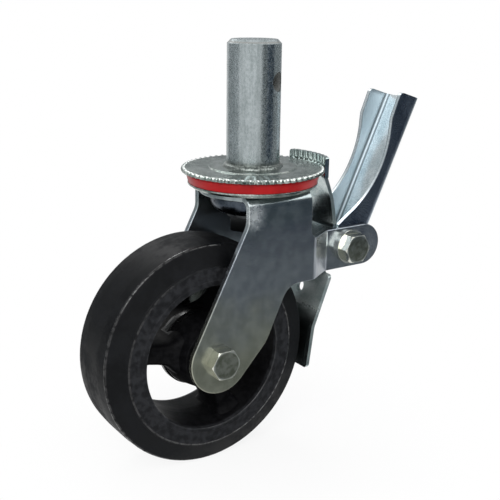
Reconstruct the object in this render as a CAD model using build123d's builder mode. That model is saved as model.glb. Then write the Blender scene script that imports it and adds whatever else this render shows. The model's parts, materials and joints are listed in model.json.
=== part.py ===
from build123d import *
from math import acos, atan2, cos, degrees, hypot, pi, radians, sin, tan
import os

# Scaffold castor with a swivel head, a 150 mm rubber-tyred wheel and a total-lock foot brake.
# The origin is on the stem's axis at the foot of its straight wall, where a tube's end rests on
# the weld. +Z runs up the stem, the wheel trails towards -X, its axle lies along Y and the brake lever is on the +X side.
# Lengths are in millimetres and angles in degrees.

# Stem, with the kingpin pressed into its foot
stem_d = 35.0
stem_height = 82.0
stem_chamfer = 2.5
lock_hole_d = 12.5
lock_hole_height = 56.0
lock_hole_turn = -60.0
weld_leg = 2.5
kingpin_d = 20.0
kingpin_chamfer = 1.5
spigot_d = 14.0
spigot_length = 16.0
spigot_end_gap = 1.0
thread_past_nut = 2.5

# Top plate with its toothed rim
plate_d = 94.7
plate_t = 2.6
boss_spread = 12.0
boss_h = 0.8
boss_slope = 45.0
tooth_count = 60
tooth_depth = 1.7

# Swivel head: two rows of balls between pressed races
upper_race_gap = 6.8
upper_ball_d = 8.0
upper_row_inset = 7.5
lower_race_gap = 5.2
lower_ball_d = 7.0
lower_row_inset = 7.0
ball_play = 0.3
ball_spread = 1.11
dish_inset = 1.1
dish_h = 3.0
dish_lip = 1.2
dish_undercut = 1.5
dish_draft = 1.0
dish_hole_d = 46.0
seal_inset = 3.25
seal_wall = 3.6
seal_play = 0.3
seal_round = 0.9
cup_side_gap = 1.4
cup_wall = 2.6
cup_floor_t = 3.2
cup_depth = 11.0
cup_round = 8.0
cup_lip_round = 1.0
cup_play = 1.4
kingpin_washer_d = 37.0
kingpin_washer_t = 2.5
kingpin_nut_af = 30.0
kingpin_nut_t = 10.0
kingpin_play = 1.0

# Wheel
wheel_d = 150.0
tread_reach = 29.8
tread_drop = 41.5
tread_w = 37.0
tread_crown = 0.7
shoulder_round = 1.6
tyre_h = 15.2
tyre_seat_step = 1.2
rim_step = 1.6
rim_h = 11.1
rim_draft = 2.4
hub_w = 54.4
hub_d = 43.0
hub_swell = 4.5
spoke_count = 3
first_spoke = 52.0
spoke_root_w = 16.0
spoke_tip_w = 14.0
spoke_root_t = 34.0
spoke_tip_t = 28.0
spoke_round = 3.0

# Axle, with a needle cage in the hub
axle_d = 12.0
hole_play = 0.2
sleeve_d = 19.0
roller_d = 5.0
roller_count = 10
roller_play = 0.08
cage_t = 2.2
cage_inset = 3.2
cage_rail = 4.0
pocket_play = 0.1
thrust_washer_d = 40.0
thrust_washer_t = 2.0
washer_play = 0.1
side_play = 0.2
hex_af = 18.6
hex_head_t = 7.3
hex_nut_t = 10.0
hex_chamfer = 1.0
thread_end = 2.5
thread_chamfer = 1.0

# Fork, pressed from one sheet
sheet_t = 4.0
bend_r = 4.0
crown_reach = 35.0
leg_front_x = -24.7
leg_rear_x = 25.0
knee_drop = 17.6
knee_round = 12.0
leg_end_r = 21.5
rear_rise = 47.0
rear_run = 29.3
rear_steep = 65.3
rear_round = 24.0
ear_fillet = 13.7
ear_top_fillet = 6.0
joggle_start_x = 28.5
joggle_end_x = 46.6
ear_half_h = 14.45
ear_drop = 0.55
ear_play = 0.6

# Brake pivot between the ears
pivot_x = 67.0
pivot_drop = 58.9
ear_tip_run = 12.6
pivot_sleeve_d = 16.0
pivot_washer_d = 24.0
pivot_washer_t = 2.5
pivot_play = 0.08
pivot_head_t = 7.5

# Brake lever, folded from one sheet
lever_w = 34.8
lever_t = 3.0
lever_lean = 25.06
lever_back = 17.2
lever_length = 115.5
lever_top_slope = 2.6
lever_top_depth = 19.6
lever_shoulder_depth = 18.6
lever_shoulder_s = 94.0
scoop_start_depth = 16.5
scoop_start_s = 88.3
scoop_depth = 11.3
scoop_s = 63.0
scoop_end_depth = 23.7
scoop_end_s = 20.3
lobe_depth = 29.0
lobe_s = 11.0
lobe_round = 4.0
lever_foot_s = -2.0
lever_bend_r = 6.0
lever_corner = 3.0
crease_w = 4.0
crease_side = 2.2
crease_start_s = 10.0
crease_end_s = 109.0
lever_swing = 60.0

# Brake leaf, one bent plate
leaf_t = 2.6
leaf_lean = 14.7
cam_low = 11.6
cam_gap = 0.3
brake_travel = 1.9
tooth_clearance = 0.3
shoe_clearance = 0.3
tab_rise = 5.0
tab_depth = 9.0
leaf_neck_out = 2.0
leaf_neck_under = 16.0
leaf_upper_bend = 14.9
leaf_lower_bend = 17.1
shoe_lean = 8.0
shoe_bend_up = 4.5
shoe_end_down = 24.9
leaf_bend_r = 10.0
tab_w = 40.4
shoe_side_gap = 3.9
shoulder_drop = 2.6
shoulder_corner = 3.0
shoulder_relief = 2.0
tab_corner = 1.5
tab_foot_bend = 20.0
neck_bend = 8.0
tab_back_depth = 1.0
tab_back_share = 0.8
tab_teeth = 5
leaf_hole_d = 7.0
leaf_hole_drop = 14.0

# Heights and faces that follow from the sizes above
plate_r = plate_d / 2
boss_d = stem_d + 2 * boss_spread
seal_d = plate_d - 2 * seal_inset
seal_inner_d = seal_d - 2 * seal_wall
dish_d = seal_d - 2 * dish_inset
dish_neck_d = dish_d - 2 * dish_undercut
dish_foot_d = dish_neck_d - 2 * dish_draft
upper_row_d = dish_neck_d - 2 * upper_row_inset
upper_ball_count = int(pi * upper_row_d / (ball_spread * upper_ball_d))
boss_top = -weld_leg
plate_top = boss_top - boss_h
plate_under = plate_top - plate_t
stem_top = plate_top + stem_height
pivot_z = plate_top - pivot_drop
wheel_r = wheel_d / 2
axle_z = plate_top - tread_drop - wheel_r
axle_x = tread_reach - wheel_r
tab_top_z = plate_top + tab_rise
tab_foot_z = plate_top - tab_depth
dish_top = plate_under - upper_race_gap
crown_top = dish_top - dish_h
crown_under = crown_top - sheet_t
cup_top = crown_under - cup_play
cup_race_z = crown_under - lower_race_gap
cup_bottom = cup_top - cup_depth
washer_bottom = cup_bottom - kingpin_washer_t
nut_bottom = washer_bottom - kingpin_nut_t
kingpin_end = nut_bottom - thread_past_nut
upper_ball_z = (plate_under + dish_top) / 2
lower_ball_z = (crown_under + cup_race_z) / 2
upper_groove_r = upper_ball_d / 2 + ball_play
lower_groove_r = lower_ball_d / 2 + ball_play
leg_inner_y = hub_w / 2 + side_play + thrust_washer_t
leg_outer_y = leg_inner_y + sheet_t
leg_split_z = crown_under - 2 * bend_r
cup_d = 2 * (leg_inner_y - cup_side_gap)
lower_row_d = cup_d - 2 * lower_row_inset
lower_ball_count = int(pi * lower_row_d / (ball_spread * lower_ball_d))
ear_inner_y = lever_w / 2 + ear_play
ear_outer_y = ear_inner_y + sheet_t
ear_mid_z = pivot_z - ear_drop
ear_top_z = ear_mid_z + ear_half_h
ear_bottom_z = ear_mid_z - ear_half_h
ear_tip_x = pivot_x + ear_tip_run
tyre_seat_r = wheel_r - tyre_h
rim_w = hub_w - 2 * rim_step
tyre_seat_w = rim_w - 2 * tyre_seat_step
rim_bore_d = 2 * (tyre_seat_r - rim_h)
cage_length = hub_w - 2 * cage_inset
roller_length = cage_length - 2 * cage_rail
shoe_w = 2 * (leg_inner_y - shoe_side_gap)
sleeve_r = sleeve_d / 2
roller_circle_r = sleeve_r + roller_play + roller_d / 2
hub_bore_r = roller_circle_r + roller_d / 2 + roller_play
bolt_hole_r = axle_d / 2 + hole_play

# Planes on the axle and on the pivot face the near side, with X to the right and Z up
axle_line = Axis((axle_x, 0, axle_z), (0, 1, 0))
axle_plane = Plane(origin=(axle_x, 0, axle_z), x_dir=(1, 0, 0), z_dir=(0, -1, 0))
axle_section = Plane(origin=(axle_x, 0, axle_z), x_dir=(1, 0, 0), z_dir=(0, 0, 1))
pivot_plane = Plane(origin=(pivot_x, 0, pivot_z), x_dir=(1, 0, 0), z_dir=(0, -1, 0))


def polar(radius, angle, centre=(0, 0)):
    """Point at a radius and an angle in degrees about a centre."""
    return (
        centre[0] + radius * cos(radians(angle)),
        centre[1] + radius * sin(radians(angle)),
    )


def touch_point(centre, radius, point, side):
    """Point where the line from an outside point touches a circle, on its side 1 or -1."""
    run_x = point[0] - centre[0]
    run_y = point[1] - centre[1]
    spread = degrees(acos(radius / hypot(run_x, run_y)))
    return polar(radius, degrees(atan2(run_y, run_x)) + side * spread, centre)


def crest_angle(number):
    """Angle of a tooth of the rim."""
    return number * 360 / tooth_count


def scallops(numbers, crest_r, depth, share=0.5, centre=(0, 0)):
    """Scalloped arcs round the stem, where each crest takes its share of the pitch."""
    half_crest = share * 180 / tooth_count
    middle_r = crest_r - depth * share
    arcs = []
    for number in numbers:
        crest = polar(crest_r, crest_angle(number), centre)
        crest_start = polar(middle_r, crest_angle(number) - half_crest, centre)
        crest_end = polar(middle_r, crest_angle(number) + half_crest, centre)
        root = polar(crest_r - depth, crest_angle(number + 0.5), centre)
        next_crest = polar(middle_r, crest_angle(number + 1) - half_crest, centre)
        arcs.append(ThreePointArc(crest_start, crest, crest_end))
        arcs.append(ThreePointArc(crest_end, root, next_crest))
    return arcs


def hexagon(plane, across_flats, thickness):
    """Head or nut standing on a plane, its outer corners turned off."""
    with BuildPart() as piece:
        with BuildSketch(plane) as blank:
            Circle(across_flats / 3**0.5)
        extrude(blank.sketch, amount=thickness)
        outer_face = piece.faces().sort_by(Axis(plane.origin, plane.z_dir))[-1]
        chamfer(outer_face.edges(), hex_chamfer)
        with BuildSketch(plane) as flats:
            RegularPolygon(across_flats / 2, 6, major_radius=False)
        extrude(flats.sketch, amount=thickness, mode=Mode.INTERSECT)
    return piece.part


os.makedirs("parts", exist_ok=True)

# Stem, with its weld bead at the foot and a blind bore for the kingpin
lock_plane = Plane(
    origin=(0, 0, plate_top + lock_hole_height),
    x_dir=(0, 0, 1),
    z_dir=(*polar(1, lock_hole_turn), 0),
)
with BuildPart() as stem:
    with BuildSketch(Plane.XZ):
        with BuildLine():
            Polyline(
                (0, boss_top),
                (stem_d / 2 + weld_leg, boss_top),
                (stem_d / 2, 0),
                (stem_d / 2, stem_top - stem_chamfer),
                (stem_d / 2 - stem_chamfer, stem_top),
                (0, stem_top),
                close=True,
            )
        make_face()
    revolve(axis=Axis.Z)
    with BuildSketch(lock_plane):
        Circle(lock_hole_d / 2)
    extrude(amount=stem_d, both=True, mode=Mode.SUBTRACT)
    with BuildSketch(Plane.XY.offset(boss_top)):
        Circle(spigot_d / 2)
    extrude(amount=spigot_length + spigot_end_gap, mode=Mode.SUBTRACT)
stem.part.label = "stem"
export_step(stem.part, "parts/stem.step")

# Kingpin: its spigot is pressed into the stem, and it holds the swivel head together
with BuildPart() as kingpin:
    with BuildSketch(Plane.XZ):
        with BuildLine():
            Polyline(
                (0, kingpin_end),
                (kingpin_d / 2 - kingpin_chamfer, kingpin_end),
                (kingpin_d / 2, kingpin_end + kingpin_chamfer),
                (kingpin_d / 2, boss_top),
                (spigot_d / 2, boss_top),
                (spigot_d / 2, boss_top + spigot_length),
                (0, boss_top + spigot_length),
                close=True,
            )
        make_face()
    revolve(axis=Axis.Z)
kingpin.part.label = "kingpin"
export_step(kingpin.part, "parts/kingpin.step")

# Top plate: the rim's teeth are rounded knobs, and the middle is pressed up round the stem
with BuildPart() as top_plate:
    with BuildSketch(Plane.XY.offset(plate_under)):
        with BuildLine():
            scallops(range(tooth_count), plate_r, tooth_depth)
        make_face()
    extrude(amount=plate_t)
    with BuildSketch(Plane.XY.offset(plate_top)):
        Circle(boss_d / 2)
    extrude(amount=boss_h, taper=boss_slope)
    with BuildSketch(Plane.XY.offset(plate_under)):
        Circle(kingpin_d / 2)
    extrude(amount=plate_t + boss_h, mode=Mode.SUBTRACT)
    with Locations((0, 0, upper_ball_z)):
        Torus(upper_row_d / 2, upper_groove_r, mode=Mode.SUBTRACT)
top_plate.part.label = "top_plate"
export_step(top_plate.part, "parts/top_plate.step")

# Ring of the upper ball row, which stands on the crown and carries the dust seal on its lip
with BuildPart() as race_dish:
    with BuildSketch(Plane.XZ):
        with BuildLine():
            Polyline(
                (dish_hole_d / 2, crown_top),
                (dish_hole_d / 2, dish_top),
                (dish_d / 2, dish_top),
                (dish_d / 2, dish_top - dish_lip),
                (dish_neck_d / 2, dish_top - dish_lip),
                (dish_foot_d / 2, crown_top),
                close=True,
            )
        make_face()
    revolve(axis=Axis.Z)
    with Locations((0, 0, upper_ball_z)):
        Torus(upper_row_d / 2, upper_groove_r, mode=Mode.SUBTRACT)
race_dish.part.label = "race_dish"
export_step(race_dish.part, "parts/race_dish.step")

# Dust seal on the race, just clear of the top plate
with BuildPart() as dust_seal:
    with BuildSketch(Plane.XZ) as seal_section:
        with Locations((seal_inner_d / 2, dish_top)):
            Rectangle(
                (seal_d - seal_inner_d) / 2,
                upper_race_gap - seal_play,
                align=(Align.MIN, Align.MIN),
            )
        fillet(seal_section.vertices().group_by(Axis.X)[-1], seal_round)
    revolve(axis=Axis.Z)
dust_seal.part.label = "dust_seal"
export_step(dust_seal.part, "parts/dust_seal.step")

# Lower race, a cup with the lower ball row between it and the crown
with BuildPart() as lower_race_cup:
    with BuildSketch(Plane.XZ) as cup_section:
        with BuildLine():
            Polyline(
                (kingpin_d / 2, cup_bottom),
                (cup_d / 2, cup_bottom),
                (cup_d / 2, cup_top),
                (cup_d / 2 - cup_wall, cup_top),
                (cup_d / 2 - cup_wall, cup_race_z),
                (kingpin_d / 2, cup_race_z),
                close=True,
            )
        make_face()
        outer_corners = cup_section.vertices().group_by(Axis.X)[-1].sort_by(Axis.Y)
        fillet(outer_corners[0], cup_round)
        fillet(outer_corners[-1], cup_lip_round)
    revolve(axis=Axis.Z)
    with Locations((0, 0, lower_ball_z)):
        Torus(lower_row_d / 2, lower_groove_r, mode=Mode.SUBTRACT)
lower_race_cup.part.label = "lower_race_cup"
export_step(lower_race_cup.part, "parts/lower_race_cup.step")

with BuildPart() as kingpin_washer:
    with BuildSketch(Plane.XY.offset(washer_bottom)):
        Circle(kingpin_washer_d / 2)
        Circle(kingpin_d / 2, mode=Mode.SUBTRACT)
    extrude(amount=kingpin_washer_t)
kingpin_washer.part.label = "kingpin_washer"
export_step(kingpin_washer.part, "parts/kingpin_washer.step")

nut_plane = Plane(origin=(0, 0, washer_bottom), x_dir=(1, 0, 0), z_dir=(0, 0, -1))
with BuildPart() as kingpin_nut:
    add(hexagon(nut_plane, kingpin_nut_af, kingpin_nut_t))
    with BuildSketch(nut_plane):
        Circle(kingpin_d / 2)
    extrude(amount=kingpin_nut_t, mode=Mode.SUBTRACT)
kingpin_nut.part.label = "kingpin_nut"
export_step(kingpin_nut.part, "parts/kingpin_nut.step")

# Loose balls of both rows
with BuildPart() as upper_balls:
    with Locations((0, 0, upper_ball_z)):
        with PolarLocations(upper_row_d / 2, upper_ball_count):
            Sphere(upper_ball_d / 2)
upper_balls.part.label = "upper_balls"
export_step(upper_balls.part, "parts/upper_balls.step")

with BuildPart() as lower_balls:
    with Locations((0, 0, lower_ball_z)):
        with PolarLocations(lower_row_d / 2, lower_ball_count):
            Sphere(lower_ball_d / 2)
lower_balls.part.label = "lower_balls"
export_step(lower_balls.part, "parts/lower_balls.step")

# Fork crown: a channel bent over the wheel, bulged round the kingpin at its front and rear
crown_flat_y = leg_outer_y - bend_r - sheet_t
with BuildPart() as crown:
    with BuildSketch(Plane.YZ) as channel:
        with Locations((0, crown_top)):
            Rectangle(2 * leg_outer_y, crown_top - leg_split_z, align=(Align.CENTER, Align.MAX))
        fillet(channel.vertices().group_by(Axis.Y)[-1], bend_r + sheet_t)
    extrude(amount=crown_reach, both=True)
    with BuildSketch(Plane.YZ) as under_channel:
        with Locations((0, crown_under)):
            Rectangle(2 * leg_inner_y, crown_top - leg_split_z, align=(Align.CENTER, Align.MAX))
        fillet(under_channel.vertices().group_by(Axis.Y)[-1], bend_r)
    extrude(amount=crown_reach, both=True, mode=Mode.SUBTRACT)
    with BuildSketch(Plane.XY.offset(leg_split_z)):
        with BuildLine():
            Polyline(
                (leg_front_x, crown_flat_y),
                (leg_front_x, leg_outer_y),
                (leg_rear_x, leg_outer_y),
                (leg_rear_x, crown_flat_y),
            )
            ThreePointArc(
                (leg_rear_x, crown_flat_y), (crown_reach, 0), (leg_rear_x, -crown_flat_y)
            )
            Polyline(
                (leg_rear_x, -crown_flat_y),
                (leg_rear_x, -leg_outer_y),
                (leg_front_x, -leg_outer_y),
                (leg_front_x, -crown_flat_y),
            )
            ThreePointArc(
                (leg_front_x, -crown_flat_y), (-crown_reach, 0), (leg_front_x, crown_flat_y)
            )
        make_face()
    extrude(amount=crown_top - leg_split_z, mode=Mode.INTERSECT)

# Near leg and ear seen from above: the sheet steps inwards from the leg to the ear
joggle_turn = degrees(atan2(leg_outer_y - ear_outer_y, joggle_end_x - joggle_start_x))
joggle_shift = sheet_t * tan(radians(joggle_turn / 2))
leg_plan_x = axle_x - 2 * leg_end_r
ear_plan_x = ear_tip_x + ear_half_h + sheet_t

# Leg outline seen from the side
knee = (leg_front_x, crown_top - knee_drop)
front_tangent = touch_point((axle_x, axle_z), leg_end_r, knee, 1)
rear_tangent = polar(leg_end_r, rear_rise - 90, (axle_x, axle_z))
rear_corner = polar(rear_run, rear_rise, rear_tangent)
ear_corner_x = rear_corner[0] + (ear_bottom_z - rear_corner[1]) / tan(radians(rear_steep))

with BuildPart() as fork:
    with BuildSketch(Plane.XY.offset(axle_z - leg_end_r)):
        with BuildLine():
            outside = FilletPolyline(
                (leg_plan_x, -leg_outer_y),
                (joggle_start_x, -leg_outer_y),
                (joggle_end_x, -ear_outer_y),
                (ear_plan_x, -ear_outer_y),
                radius=[bend_r + sheet_t, bend_r],
            )
            inside = FilletPolyline(
                (leg_plan_x, -leg_inner_y),
                (joggle_start_x - joggle_shift, -leg_inner_y),
                (joggle_end_x - joggle_shift, -ear_inner_y),
                (ear_plan_x, -ear_inner_y),
                radius=[bend_r, bend_r + sheet_t],
            )
            Line(outside @ 0, inside @ 0)
            Line(outside @ 1, inside @ 1)
        make_face()
    extrude(amount=leg_split_z - axle_z + leg_end_r)
    with BuildSketch(Plane.XZ):
        with BuildLine():
            front_edge = FilletPolyline(
                (leg_front_x, leg_split_z), knee, front_tangent, radius=knee_round
            )
            ThreePointArc(front_tangent, (axle_x, axle_z - leg_end_r), rear_tangent)
            rear_edge = FilletPolyline(
                rear_tangent,
                rear_corner,
                (ear_corner_x, ear_bottom_z),
                (ear_tip_x, ear_bottom_z),
                radius=[rear_round, ear_fillet],
            )
            ThreePointArc(
                rear_edge @ 1, (ear_tip_x + ear_half_h, ear_mid_z), (ear_tip_x, ear_top_z)
            )
            top_edge = FilletPolyline(
                (ear_tip_x, ear_top_z),
                (leg_rear_x, ear_top_z),
                (leg_rear_x, leg_split_z),
                radius=ear_top_fillet,
            )
            Line(top_edge @ 1, front_edge @ 0)
        make_face()
    extrude(amount=leg_outer_y, both=True, mode=Mode.INTERSECT)
    mirror(about=Plane.XZ)
    add(crown.part)
    with BuildSketch(Plane.XZ):
        with Locations((axle_x, axle_z), (pivot_x, pivot_z)):
            Circle(bolt_hole_r)
    extrude(amount=leg_outer_y, both=True, mode=Mode.SUBTRACT)
    with BuildSketch(Plane.XY.offset(crown_under)):
        Circle(kingpin_d / 2 + kingpin_play)
    extrude(amount=sheet_t, mode=Mode.SUBTRACT)
    with Locations((0, 0, lower_ball_z)):
        Torus(lower_row_d / 2, lower_groove_r, mode=Mode.SUBTRACT)
fork.part.label = "fork"
export_step(fork.part, "parts/fork.step")

# Wheel core: rim, spokes and hub cast in one piece, parted in the middle, from where the walls draft
hub_middle_r = hub_d / 2 + hub_swell
rim_inner_r = rim_bore_d / 2 - rim_draft
with BuildPart() as wheel_core:
    with BuildSketch(axle_section):
        with BuildLine():
            Polyline(
                (rim_bore_d / 2, rim_w / 2),
                (tyre_seat_r, tyre_seat_w / 2),
                (tyre_seat_r, -tyre_seat_w / 2),
                (rim_bore_d / 2, -rim_w / 2),
                (rim_inner_r, 0),
                close=True,
            )
        make_face()
        with BuildLine():
            Polyline(
                (0, hub_w / 2),
                (hub_d / 2, hub_w / 2),
                (hub_middle_r, 0),
                (hub_d / 2, -hub_w / 2),
                (0, -hub_w / 2),
                close=True,
            )
        make_face()
    revolve(axis=axle_line)
    for number in range(spoke_count):
        reach = polar(1, first_spoke + number * 360 / spoke_count)
        spoke = Plane(origin=axle_section.origin, x_dir=(0, 1, 0), z_dir=(reach[0], 0, reach[1]))
        with BuildSketch(spoke):
            RectangleRounded(spoke_root_t, spoke_root_w, spoke_round)
        with BuildSketch(spoke.offset((rim_inner_r + tyre_seat_r) / 2)):
            RectangleRounded(spoke_tip_t, spoke_tip_w, spoke_round)
        loft()
    with BuildSketch(axle_plane):
        Circle(hub_bore_r)
    extrude(amount=hub_w / 2, both=True, mode=Mode.SUBTRACT)
wheel_core.part.label = "wheel_core"
export_step(wheel_core.part, "parts/wheel_core.step")

# Tyre: solid rubber bonded to the rim, with a slightly crowned tread
with BuildPart() as tyre:
    with BuildSketch(axle_section) as tyre_section:
        with BuildLine():
            Polyline(
                (wheel_r - tread_crown, -tread_w / 2),
                (tyre_seat_r, -tyre_seat_w / 2),
                (tyre_seat_r, tyre_seat_w / 2),
                (wheel_r - tread_crown, tread_w / 2),
            )
            ThreePointArc(
                (wheel_r - tread_crown, tread_w / 2),
                (wheel_r, 0),
                (wheel_r - tread_crown, -tread_w / 2),
            )
        make_face()
        fillet(tyre_section.vertices().sort_by(Axis.X)[-2:], shoulder_round)
    revolve(axis=axle_line)
tyre.part.label = "tyre"
export_step(tyre.part, "parts/tyre.step")

# Needle rollers in their cage, between the hub's bore and the axle sleeve
with BuildPart() as hub_rollers:
    with BuildSketch(axle_plane.offset(-roller_length / 2)):
        with PolarLocations(roller_circle_r, roller_count):
            Circle(roller_d / 2)
    extrude(amount=roller_length)
hub_rollers.part.label = "hub_rollers"
export_step(hub_rollers.part, "parts/hub_rollers.step")

with BuildPart() as roller_cage:
    with BuildSketch(axle_plane):
        Circle(roller_circle_r + cage_t / 2)
        Circle(roller_circle_r - cage_t / 2, mode=Mode.SUBTRACT)
    extrude(amount=cage_length / 2, both=True)
    with BuildSketch(axle_plane):
        with PolarLocations(roller_circle_r, roller_count):
            Rectangle(2 * cage_t, roller_d + 2 * pocket_play)
    extrude(amount=roller_length / 2 + pocket_play, both=True, mode=Mode.SUBTRACT)
roller_cage.part.label = "roller_cage"
export_step(roller_cage.part, "parts/roller_cage.step")

# Axle: sleeve between the legs, bolt through it, nut on the far leg and a washer beside each hub end
with BuildPart() as axle_sleeve:
    with BuildSketch(axle_plane):
        Circle(sleeve_r)
        Circle(bolt_hole_r, mode=Mode.SUBTRACT)
    extrude(amount=leg_inner_y, both=True)
axle_sleeve.part.label = "axle_sleeve"
export_step(axle_sleeve.part, "parts/axle_sleeve.step")

with BuildPart() as thrust_washers:
    with BuildSketch(axle_plane.offset(leg_inner_y - thrust_washer_t)):
        Circle(thrust_washer_d / 2)
        Circle(sleeve_r + washer_play, mode=Mode.SUBTRACT)
    extrude(amount=thrust_washer_t)
    mirror(about=Plane.XZ)
thrust_washers.part.label = "thrust_washers"
export_step(thrust_washers.part, "parts/thrust_washers.step")


def bolt(plane, head_y, head_t, grip_end_y):
    """Hexagonal bolt along Y: head on the near side, thread just past the nut on the far side."""
    with BuildPart() as piece:
        add(hexagon(plane.offset(head_y), hex_af, head_t))
        with BuildSketch(plane.offset(head_y)) as shank:
            Circle(axle_d / 2)
        extrude(shank.sketch, amount=-(head_y + grip_end_y + hex_nut_t + thread_end))
        chamfer(piece.edges().sort_by(Axis.Y)[-1], thread_chamfer)
    return piece.part


def nut(plane, seat_y):
    """Hexagonal nut on the far side, standing on a face at seat_y."""
    far_plane = Plane(origin=plane.offset(-seat_y).origin, x_dir=(1, 0, 0), z_dir=(0, 1, 0))
    with BuildPart() as piece:
        add(hexagon(far_plane, hex_af, hex_nut_t))
        with BuildSketch(far_plane) as bore:
            Circle(axle_d / 2)
        extrude(bore.sketch, amount=hex_nut_t, mode=Mode.SUBTRACT)
    return piece.part


axle_bolt = bolt(axle_plane, leg_outer_y, hex_head_t, leg_outer_y)
axle_bolt.label = "axle_bolt"
export_step(axle_bolt, "parts/axle_bolt.step")

axle_nut = nut(axle_plane, leg_outer_y)
axle_nut.label = "axle_nut"
export_step(axle_nut, "parts/axle_nut.step")

# Brake pivot: the same bolt and nut on a washer each, and a sleeve on which the lever turns
washer_face_y = ear_outer_y + pivot_washer_t
pivot_bolt = bolt(pivot_plane, washer_face_y, pivot_head_t, washer_face_y)
pivot_bolt.label = "pivot_bolt"
export_step(pivot_bolt, "parts/pivot_bolt.step")

pivot_nut = nut(pivot_plane, washer_face_y)
pivot_nut.label = "pivot_nut"
export_step(pivot_nut, "parts/pivot_nut.step")

with BuildPart() as pivot_washers:
    with BuildSketch(pivot_plane.offset(ear_outer_y)):
        Circle(pivot_washer_d / 2)
        Circle(bolt_hole_r, mode=Mode.SUBTRACT)
    extrude(amount=pivot_washer_t)
    mirror(about=Plane.XZ)
pivot_washers.part.label = "pivot_washers"
export_step(pivot_washers.part, "parts/pivot_washers.step")

with BuildPart() as pivot_sleeve:
    with BuildSketch(pivot_plane):
        Circle(pivot_sleeve_d / 2)
        Circle(bolt_hole_r, mode=Mode.SUBTRACT)
    extrude(amount=ear_inner_y, both=True)
pivot_sleeve.part.label = "pivot_sleeve"
export_step(pivot_sleeve.part, "parts/pivot_sleeve.step")

# The cam is an off-centre circle on the lever. Its small radius faces the leaf while the lever
# stands up, and it pushes the leaf evenly through its travel as the lever goes down.
cam_rise = brake_travel * cos(radians(leaf_lean)) / 2
cam_throw = cam_rise / sin(radians(lever_swing / 2))
cam_r = cam_low + cam_rise
cam_turn = 180 - leaf_lean + 90 + lever_swing / 2
cam_centre = polar(cam_throw, cam_turn + lever_lean)

# Lever seen from the side, with x away from the stem and y up along the lever
lean_x = sin(radians(lever_lean))
lean_z = cos(radians(lever_lean))
lever_plane = Plane(origin=pivot_plane.origin, x_dir=(lean_z, 0, -lean_x), z_dir=(0, -1, 0))
lobe = (lever_back - lobe_depth, lobe_s)
foot = (lever_back, lever_foot_s)
cam_start = touch_point(cam_centre, cam_r, lobe, 1)
cam_end = touch_point(cam_centre, cam_r, foot, -1)
cam_lowest = (cam_centre[0], cam_centre[1] - cam_r)

# Folded section of the lever, seen along it with y towards the stem
lever_section = Plane(origin=pivot_plane.origin, x_dir=(0, 1, 0), z_dir=(lean_x, 0, lean_z))
with BuildPart() as brake_lever:
    with BuildSketch(lever_section.offset(-2 * cam_r)) as folded:
        with Locations((0, -lever_back)):
            Rectangle(lever_w, 2 * lobe_depth, align=(Align.CENTER, Align.MIN))
        fillet(folded.vertices().group_by(Axis.Y)[0], lever_bend_r)
    extrude(amount=2 * cam_r + lever_length)
    with BuildSketch(lever_section.offset(-2 * cam_r)) as hollow:
        with Locations((0, lever_t - lever_back)):
            Rectangle(lever_w - 2 * lever_t, 2 * lobe_depth, align=(Align.CENTER, Align.MIN))
        fillet(hollow.vertices().group_by(Axis.Y)[0], lever_bend_r - lever_t)
    extrude(amount=2 * cam_r + lever_length, mode=Mode.SUBTRACT)
    with BuildSketch(lever_plane) as lever_side:
        with BuildLine():
            Polyline(
                foot,
                (lever_back, lever_length),
                (lever_back - lever_top_depth, lever_length - lever_top_slope),
                (lever_back - lever_shoulder_depth, lever_shoulder_s),
                (lever_back - scoop_start_depth, scoop_start_s),
            )
            ThreePointArc(
                (lever_back - scoop_start_depth, scoop_start_s),
                (lever_back - scoop_depth, scoop_s),
                (lever_back - scoop_end_depth, scoop_end_s),
            )
            Polyline((lever_back - scoop_end_depth, scoop_end_s), lobe, cam_start)
            ThreePointArc(cam_start, cam_lowest, cam_end)
            Line(cam_end, foot)
        make_face()
        fillet(lever_side.vertices().sort_by(Axis.Y)[-2:], lever_corner)
        fillet(lever_side.vertices().sort_by(Axis.X)[0], lobe_round)
    extrude(amount=lever_w / 2, both=True, mode=Mode.INTERSECT)
    with BuildSketch(lever_section.offset(crease_start_s)):
        with Locations((0, -lever_back)):
            Triangle(
                a=crease_w,
                b=crease_side,
                c=crease_side,
                rotation=180,
                align=(Align.CENTER, Align.MAX),
            )
    extrude(amount=crease_end_s - crease_start_s)
    with BuildSketch(lever_plane):
        Circle(pivot_sleeve_d / 2 + pivot_play)
    extrude(amount=lever_w / 2, both=True, mode=Mode.SUBTRACT)
brake_lever.part.label = "brake_lever"
export_step(brake_lever.part, "parts/brake_lever.step")

# Rear face of the leaf seen from the side. Its leaning stretch lies against the cam, and its shoe
# comes within the shoe's clearance of the tread when the brake is on.
tab_centre = (brake_travel, 0)
tab_inner_r = plate_r + tooth_clearance
tab_outer_r = tab_inner_r + leaf_t
neck_x = tab_outer_r + brake_travel + leaf_neck_out
neck_z = tab_foot_z - leaf_neck_under
cam_side = polar(cam_low + cam_gap, 180 - leaf_lean, (pivot_x, pivot_z))


def leaf_face_x(z):
    """Place of the leaning stretch's rear face at a height."""
    return cam_side[0] + (z - cam_side[1]) * tan(radians(leaf_lean))


def shoe_face_x(z):
    """Place of the shoe's rear face at a height."""
    slant = radians(shoe_lean)
    reach = wheel_r + shoe_clearance + leaf_t
    return axle_x + brake_travel + (reach + (z - axle_z) * sin(slant)) / cos(slant)


upper_bend_z = pivot_z + leaf_upper_bend
lower_bend_z = pivot_z - leaf_lower_bend
shoe_top_z = axle_z + shoe_bend_up
shoe_end_z = axle_z - shoe_end_down
shoulder_z = ear_bottom_z - shoulder_drop
neck_slope = (leaf_face_x(upper_bend_z) - neck_x) / (neck_z - upper_bend_z)

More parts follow.
